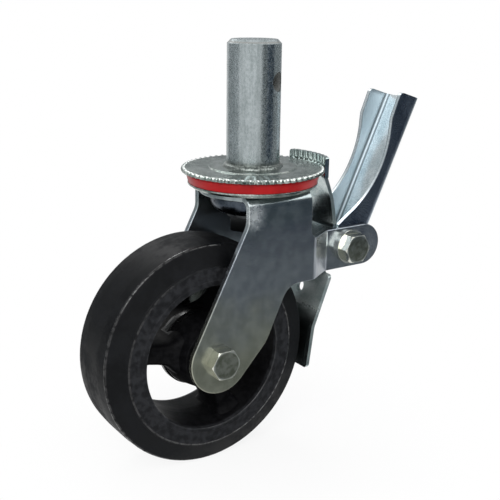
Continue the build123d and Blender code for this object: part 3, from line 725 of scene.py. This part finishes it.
# %% Finish the nodes that stay
kept_nodes = {
    "upper_balls": "ball_steel",
    "lower_balls": "ball_steel",
    "hub_rollers": "ball_steel",
    "roller_cage": "ball_steel",
    "axle_sleeve": "bright_zinc",
    "pivot_sleeve": "bright_zinc",
}
for node, slot in kept_nodes.items():
    for material_slot in frame["nodes"][node].material_slots:
        material_slot.material = finishes[slot]
    print(node, "keeps its node with", slot)

# %% [markdown]
# ## Turned profiles
# The tyre, the rim, the hub, the seal and the top plate are rings. Each is a closed outline of
# radius and place along the axis, spun once round it. Corners of the outline are rounded by a
# short formula first, so that the ring gets a true radius where the real mould has one.

# %% Spin a rounded outline
arc_steps = 4


def rounded(outline, radii):
    """Outline with arcs at its corners, one radius each, 0 for a corner that stays."""
    points = []
    for number, radius in enumerate(radii):
        corner = Vector(outline[number])
        if not radius:
            points.append(corner)
            continue
        before = (Vector(outline[number - 1]) - corner).normalized()
        after = (Vector(outline[(number + 1) % len(outline)]) - corner).normalized()
        half = before.angle(after) / 2
        centre = corner + (before + after).normalized() * (radius / sin(half))
        start = (corner + before * (radius / tan(half)) - centre).normalized()
        end = (corner + after * (radius / tan(half)) - centre).normalized()
        for step in range(arc_steps + 1):
            points.append(centre + start.slerp(end, step / arc_steps) * radius)
    return points


def mirrored(half, radii):
    """Rounded outline of a half outline and its mirror image across the wheel's middle."""
    other_half = [(radius, -across) for radius, across in reversed(half)]
    return rounded(half + other_half, radii + radii[::-1])


def spun(outline, centre, axis, steps):
    """Bmesh of an outline of (radius, place along the axis) spun round the z or y axis."""
    shape = bmesh.new()
    out = Vector((1, 0, 0))
    corners = [shape.verts.new(centre + out * radius + axis * along) for radius, along in outline]
    edges = [shape.edges.new((corners[k - 1], corners[k])) for k in range(len(corners))]
    bmesh.ops.spin(
        shape,
        geom=corners + edges,
        cent=centre,
        axis=axis,
        angle=2 * pi,
        steps=steps,
        use_merge=True,
    )
    bmesh.ops.remove_doubles(shape, verts=shape.verts, dist=weld_distance)
    bmesh.ops.recalc_face_normals(shape, faces=shape.faces)
    return shape


origin = Vector((0, 0, 0))
stem_axis = Vector((0, 0, 1))
axle_axis = Vector((0, 1, 0))
tyre_low, tyre_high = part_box("tyre")
axle_centre = (tyre_low + tyre_high) / 2
wheel_r = (tyre_high.z - tyre_low.z) / 2
print("wheel radius", round(wheel_r, 4), "axle at", [round(x, 4) for x in axle_centre])

# %% [markdown]
# ## The tyre
# A solid rubber tyre is moulded onto the rim. The tread is almost flat with a rounded shoulder,
# and its cheeks lean out towards the rim and end in a small step near it. Spinning one outline
# gives all of it.

# %% Spin the tyre
core_low, core_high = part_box("wheel_core")
seat_r = (core_high.z - core_low.z) / 2
seat_half = (tyre_high.y - tyre_low.y) / 2
tread_half = 18.5 * MM
tread_edge_r = wheel_r - 0.7 * MM
tread_crown_r = wheel_r - 0.2 * MM
step_r = seat_r + 1.6 * MM
step_in = 0.45 * MM
step_ramp = 0.4 * MM
cheek_share = (step_r - seat_r) / (tread_edge_r - seat_r)
step_half = seat_half + (tread_half - seat_half) * cheek_share
wheel_steps = 144

tyre_half = [
    (seat_r, seat_half),
    (step_r, step_half),
    (step_r + step_ramp, step_half - step_in),
    (tread_edge_r, tread_half),
    (tread_crown_r, tread_half / 2),
]
tyre_outline = mirrored(tyre_half, [0, 0.3 * MM, 0.3 * MM, 1.6 * MM, 6 * MM])
tyre_shape = spun(tyre_outline, axle_centre, axle_axis, wheel_steps)
tyre = place("tyre_moulded", tyre_shape, "wheel", "tyre_rubber")
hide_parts("tyre")

# %% [markdown]
# ## The cast core
# Rim, spokes and hub are one iron casting. Nothing in a casting meets at a sharp corner: the
# spokes swell where they run into the rim and the hub. The rim's bore is narrowest in the
# middle, and the hub is widest there, as a mould in two halves leaves them. Both are spun.

# %% Spin the rim and the hub
rim_face = 25.6 * MM
rim_bore_r = 48.7 * MM
rim_waist_r = 46.4 * MM
rim_lip_r = rim_bore_r + 3.2 * MM
hub_face = 27.2 * MM
hub_r = 21.5 * MM
hub_middle_r = 26 * MM
hub_bore_r = 14.66 * MM
hub_steps = 96

rim_half = [
    (rim_waist_r, 3 * MM),
    (rim_bore_r - 0.6 * MM, rim_face - 3 * MM),
    (rim_bore_r, rim_face),
    (rim_lip_r, rim_face),
    (rim_lip_r + 0.6 * MM, rim_face - 0.5 * MM),
    (seat_r, seat_half),
]
rim_outline = mirrored(rim_half, [2 * MM, 1 * MM, 0.9 * MM, 0.3 * MM, 0.3 * MM, 0])
rim_shape = spun(rim_outline, axle_centre, axle_axis, wheel_steps)

hub_half = [
    (hub_bore_r, hub_face),
    (hub_r - 3 * MM, hub_face),
    (hub_r - 2.6 * MM, hub_face - 0.9 * MM),
    (hub_r - 0.2 * MM, hub_face - 1.2 * MM),
    (hub_middle_r - 0.7 * MM, 2.6 * MM),
    (hub_middle_r, 2 * MM),
]
hub_outline = mirrored(hub_half, [0, 0.3 * MM, 0.3 * MM, 0.8 * MM, 1 * MM, 0.4 * MM])
hub_shape = spun(hub_outline, axle_centre, axle_axis, hub_steps)
print("rim and hub spun:", len(rim_shape.faces), "and", len(hub_shape.faces), "faces")

# %% [markdown]
# Each spoke starts as a ring of points in a rounded square, which extrude pulls outwards and
# scale widens or narrows at every station between the hub and the rim.

# %% Cast the spokes
first_spoke = 52.0
spoke_count = 3
spoke_sides = 28
spoke_square = 0.45

# Each station has a radius from the axle, a half depth along it and a half width, in mm.
spoke_stations = [
    (20, 20, 14),
    (23.5, 18.4, 11.2),
    (26, 17.2, 9.2),
    (29, 16.4, 8.0),
    (34, 15.6, 7.3),
    (40, 14.8, 7.0),
    (43.5, 14.8, 7.6),
    (46, 16.2, 9.6),
    (47.8, 18.6, 12.6),
    (50, 20, 14.6),
]


def squared(value):
    """Bends a circle's coordinate towards a rounded square's."""
    return abs(value) ** spoke_square * (1 if value > 0 else -1)


def spoke(angle):
    """Bmesh of one spoke, turned to its angle round the axle."""
    shape = bmesh.new()
    ring = bmesh.ops.create_circle(shape, cap_ends=True, segments=spoke_sides, radius=1)["verts"]
    for vert in ring:
        vert.co = Vector((squared(vert.co.x), squared(vert.co.y), 0))
    reach, depth, width = spoke_stations[0]
    bmesh.ops.scale(shape, vec=(width, depth, 1), verts=ring)
    bmesh.ops.translate(shape, vec=(0, 0, reach), verts=ring)
    open_edges = list(shape.edges)
    for next_reach, next_depth, next_width in spoke_stations[1:]:
        made = bmesh.ops.extrude_edge_only(shape, edges=open_edges)["geom"]
        ring = [item for item in made if isinstance(item, bmesh.types.BMVert)]
        edges = [item for item in made if isinstance(item, bmesh.types.BMEdge)]
        open_edges = [edge for edge in edges if len(edge.link_faces) == 1]
        bmesh.ops.scale(shape, vec=(next_width / width, next_depth / depth, 1), verts=ring)
        bmesh.ops.translate(shape, vec=(0, 0, next_reach - reach), verts=ring)
        reach, depth, width = next_reach, next_depth, next_width
    bmesh.ops.contextual_create(shape, geom=open_edges)
    pose = Matrix.Translation(axle_centre) @ Matrix.Rotation(angle, 4, "Y") @ Matrix.Scale(MM, 4)
    bmesh.ops.transform(shape, matrix=pose, verts=shape.verts)
    bmesh.ops.recalc_face_normals(shape, faces=shape.faces)
    return shape


def join_shapes(*shapes):
    """One bmesh that holds all of these, which are then freed."""
    whole = bmesh.new()
    for shape in shapes:
        carrier = bpy.data.meshes.new("carrier")
        shape.to_mesh(carrier)
        shape.free()
        whole.from_mesh(carrier)
        bpy.data.meshes.remove(carrier)
    return whole


spoke_angles = [90 - first_spoke + number * 360 / spoke_count for number in range(spoke_count)]
spokes = [spoke(radians(angle)) for angle in spoke_angles]
casting = join_shapes(rim_shape, hub_shape, *spokes)
wheel_core = place("wheel_core_cast", casting, "wheel", "core_iron")
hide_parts("wheel_core")

# %% [markdown]
# ## The dust seal
# A red plastic ring closes the gap between the plates. It narrows downwards and has a soft lip
# at each edge, so it is spun from its own outline.

# %% Spin the seal
seal_low, seal_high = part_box("dust_seal")
seal_r = seal_high.x
seal_bore_r = 40.5 * MM
seal_taper = 1.4 * MM
seal_steps = 128

seal_outline = rounded(
    [
        (seal_bore_r, seal_low.z),
        (seal_r - seal_taper, seal_low.z),
        (seal_r - 0.1 * MM, seal_high.z - 1.2 * MM),
        (seal_r - 0.3 * MM, seal_high.z),
        (seal_bore_r, seal_high.z),
    ],
    [0, 0.7 * MM, 0.5 * MM, 0.3 * MM, 0],
)
seal_shape = spun(seal_outline, origin, stem_axis, seal_steps)
seal = place("dust_seal_moulded", seal_shape, "fork", "seal_plastic")
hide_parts("dust_seal")

# %% [markdown]
# ## The top plate
# The plate is pressed: its middle stands up round the stem and its rim is a row of sixty rounded
# knobs that the brake leaf locks into. The outline is spun with ten steps to a knob. Then the
# points near the rim are drawn in and pressed down between the knobs along a cosine, and the
# tops of the knobs are raised to low domes.

# %% Spin the top plate and press its knobs
plate_low, plate_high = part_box("top_plate")
plate_r = plate_high.x
plate_t = 2.6 * MM
boss_h = plate_high.z - plate_low.z - plate_t
boss_r = 29.5 * MM
plate_top = plate_high.z - boss_h
kingpin_r = 10 * MM
groove_r = 34 * MM
groove_half = 2.6 * MM
groove_roof = plate_low.z + 0.9 * MM
tooth_count = 60
tooth_depth = 1.7 * MM
steps_per_tooth = 10
knob_foot = plate_r - 2.6 * MM
knob_round = 1.1 * MM
knob_rise = 1.0 * MM
knob_dome = 0.45 * MM

plate_outline = rounded(
    [
        (kingpin_r, plate_low.z),
        (groove_r - groove_half, plate_low.z),
        (groove_r - groove_half / 2, groove_roof),
        (groove_r + groove_half / 2, groove_roof),
        (groove_r + groove_half, plate_low.z),
        (knob_foot, plate_low.z),
        (plate_r, plate_low.z),
        (plate_r, plate_top),
        (knob_foot, plate_top),
        (boss_r, plate_top),
        (boss_r - boss_h, plate_high.z),
        (kingpin_r, plate_high.z),
    ],
    [0, 0, 1.4 * MM, 1.4 * MM, 0, 0, knob_round, knob_round, 0, 0.8 * MM, 0.8 * MM, 0],
)
plate = spun(plate_outline, origin, stem_axis, tooth_count * steps_per_tooth)
for vert in plate.verts:
    flat_place = Vector((vert.co.x, vert.co.y))
    radius = flat_place.length
    if radius > knob_foot:
        angle = Vector((1, 0)).angle_signed(flat_place)
        between = (1 - cos(tooth_count * angle)) / 2
        out = (radius - knob_foot) / (plate_r - knob_foot)
        vert.co.x *= 1 - tooth_depth * between * out / radius
        vert.co.y *= 1 - tooth_depth * between * out / radius
        if vert.co.z > plate_low.z + plate_t / 2:
            vert.co.z += knob_dome * (1 - between) * sin(pi * out) - knob_rise * between * out
top_plate = place("top_plate_pressed", plate, "mount", "plate_zinc")
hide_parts("top_plate")

# %% [markdown]
# ## Weld and threads
# The stem is welded to the plate all round. A weld is a chain of frozen puddles, so its ring is
# spun in fine steps and swelled by a wave.

# %% Weld bead
weld_leg = 2.5 * MM
weld_belly = weld_leg * 0.62
weld_root_r = stem_r - 0.6 * MM
weld_foot = plate_high.z - 0.4 * MM
weld_head = -0.1 * MM
puddles = 34
steps_per_puddle = 8
ripple = 0.1 * MM

weld_outline = rounded(
    [
        (weld_root_r, weld_foot),
        (stem_r + weld_leg + 0.3 * MM, weld_foot),
        (stem_r + weld_belly, plate_high.z + weld_belly),
        (weld_root_r, weld_head),
    ],
    [0, 0.5 * MM, 1.6 * MM, 0],
)
weld = spun(weld_outline, origin, stem_axis, puddles * steps_per_puddle)
for vert in weld.verts:
    flat_place = Vector((vert.co.x, vert.co.y))
    if flat_place.length > stem_r:
        angle = Vector((1, 0)).angle_signed(flat_place)
        lift = ripple * abs(sin(puddles * angle / 2 + vert.co.z / weld_leg)) - ripple
        vert.co.x *= 1 + lift / flat_place.length
        vert.co.y *= 1 + lift / flat_place.length
        vert.co.z += lift / 2 if vert.co.z > plate_high.z else 0
place("stem_weld", weld, "mount", "rough_zinc")

# %% [markdown]
# A bolt's thread is a small ridge spun along a helix. Only the last turns past each nut can be
# seen, so only those are made.

# %% Thread ridges
thread_steps = 32
thread_root = 0.3 * MM
thread_crest = 0.28 * MM
flank_share = 0.42


def thread(name, start, along, radius, pitch, turns, body):
    """Ridge of a screw thread that winds along a shank from its start."""
    shape = bmesh.new()
    side = along.orthogonal().normalized()
    flank = pitch * flank_share
    corners = [
        shape.verts.new(start + side * (radius - thread_root) - along * flank),
        shape.verts.new(start + side * (radius + thread_crest)),
        shape.verts.new(start + side * (radius - thread_root) + along * flank),
    ]
    profile = shape.faces.new(corners)
    bmesh.ops.spin(
        shape,
        geom=[profile, *profile.edges, *corners],
        cent=start,
        axis=along,
        dvec=along * (pitch / thread_steps),
        angle=2 * pi * turns,
        steps=int(thread_steps * turns),
    )
    bmesh.ops.remove_doubles(shape, verts=shape.verts, dist=weld_distance)
    bmesh.ops.recalc_face_normals(shape, faces=shape.faces)
    place(name, shape, body, "bright_zinc")


bolt_thread_r = 5.75 * MM
bolt_pitch = 1.75 * MM
for bolt in bolt_centre:
    low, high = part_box(bolt)
    middle = (low + high) / 2
    tip = Vector((middle.x, high.y - 0.9 * MM, middle.z))
    thread(f"{bolt}_thread", tip, -axle_axis, bolt_thread_r, bolt_pitch, 2, "fork")

kingpin_thread_r = 9.75 * MM
kingpin_pitch = 2.5 * MM
kingpin_tip = Vector((0, 0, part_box("kingpin")[0].z + 1.6 * MM))
thread("kingpin_thread", kingpin_tip, stem_axis, kingpin_thread_r, kingpin_pitch, 1, "mount")

# %% End
print("all pieces placed")
